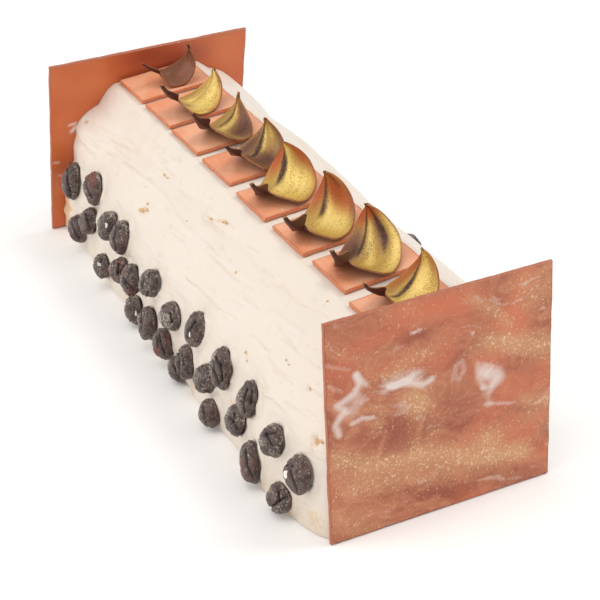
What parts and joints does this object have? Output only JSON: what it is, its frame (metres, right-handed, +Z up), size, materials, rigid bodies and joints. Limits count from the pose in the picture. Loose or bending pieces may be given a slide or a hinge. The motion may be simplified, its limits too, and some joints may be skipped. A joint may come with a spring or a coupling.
{
  "type": "yule log cake",
  "caption": "Cream-coated roll cake between two leaning chocolate end plates, with a row of thin tiles and curled gilded petals on top and chocolate drops along both sides.",
  "frame": {"origin": "on the table, midway between the feet of the two end plates", "axes": "+X along the log towards the plate that faces the viewer, +Z up, -Y towards the side with the larger group of drops"},
  "size_m": [0.2723, 0.1236, 0.096],
  "materials": {
    "whipped_cream": "soft ivory cream, spread with a palette knife",
    "milk_chocolate_plate": "moulded milk chocolate, satin, marbled with pale streaks and gold dust",
    "milk_chocolate_tile": "thin milk chocolate sheet, satin",
    "dark_chocolate_petal": "dark chocolate brushed with gold dust",
    "dark_chocolate_drop": "dark chocolate, dull with a light bloom"
  },
  "bodies": {
    "root": {"cream_log": "whipped_cream", "end_plate_near": "milk_chocolate_plate", "end_plate_far": "milk_chocolate_plate", "tile_1": "milk_chocolate_tile", "tile_2": "milk_chocolate_tile", "tile_3": "milk_chocolate_tile", "tile_4": "milk_chocolate_tile", "tile_5": "milk_chocolate_tile", "tile_6": "milk_chocolate_tile", "tile_7": "milk_chocolate_tile", "tile_8": "milk_chocolate_tile", "petal_1": "dark_chocolate_petal", "petal_2": "dark_chocolate_petal", "petal_3": "dark_chocolate_petal", "petal_4": "dark_chocolate_petal", "petal_5": "dark_chocolate_petal", "petal_6": "dark_chocolate_petal", "petal_7": "dark_chocolate_petal", "petal_8": "dark_chocolate_petal", "drop_front_01": "dark_chocolate_drop", "drop_front_02": "dark_chocolate_drop", "drop_front_03": "dark_chocolate_drop", "drop_front_04": "dark_chocolate_drop", "drop_front_05": "dark_chocolate_drop", "drop_front_06": "dark_chocolate_drop", "drop_front_07": "dark_chocolate_drop", "drop_front_08": "dark_chocolate_drop", "drop_front_09": "dark_chocolate_drop", "drop_front_10": "dark_chocolate_drop", "drop_front_11": "dark_chocolate_drop", "drop_front_12": "dark_chocolate_drop", "drop_front_13": "dark_chocolate_drop", "drop_front_14": "dark_chocolate_drop", "drop_front_15": "dark_chocolate_drop", "drop_front_16": "dark_chocolate_drop", "drop_front_17": "dark_chocolate_drop", "drop_front_18": "dark_chocolate_drop", "drop_front_19": "dark_chocolate_drop", "drop_front_20": "dark_chocolate_drop", "drop_front_21": "dark_chocolate_drop", "drop_front_22": "dark_chocolate_drop", "drop_front_23": "dark_chocolate_drop", "drop_front_24": "dark_chocolate_drop", "drop_front_25": "dark_chocolate_drop", "drop_front_26": "dark_chocolate_drop", "drop_back_01": "dark_chocolate_drop", "drop_back_02": "dark_chocolate_drop", "drop_back_03": "dark_chocolate_drop", "drop_back_04": "dark_chocolate_drop", "drop_back_05": "dark_chocolate_drop", "drop_back_06": "dark_chocolate_drop", "drop_back_07": "dark_chocolate_drop", "drop_back_08": "dark_chocolate_drop", "drop_back_09": "dark_chocolate_drop", "drop_back_10": "dark_chocolate_drop", "drop_back_11": "dark_chocolate_drop", "drop_back_12": "dark_chocolate_drop", "drop_back_13": "dark_chocolate_drop", "drop_back_14": "dark_chocolate_drop", "drop_back_15": "dark_chocolate_drop"}
  },
  "joints": []
}
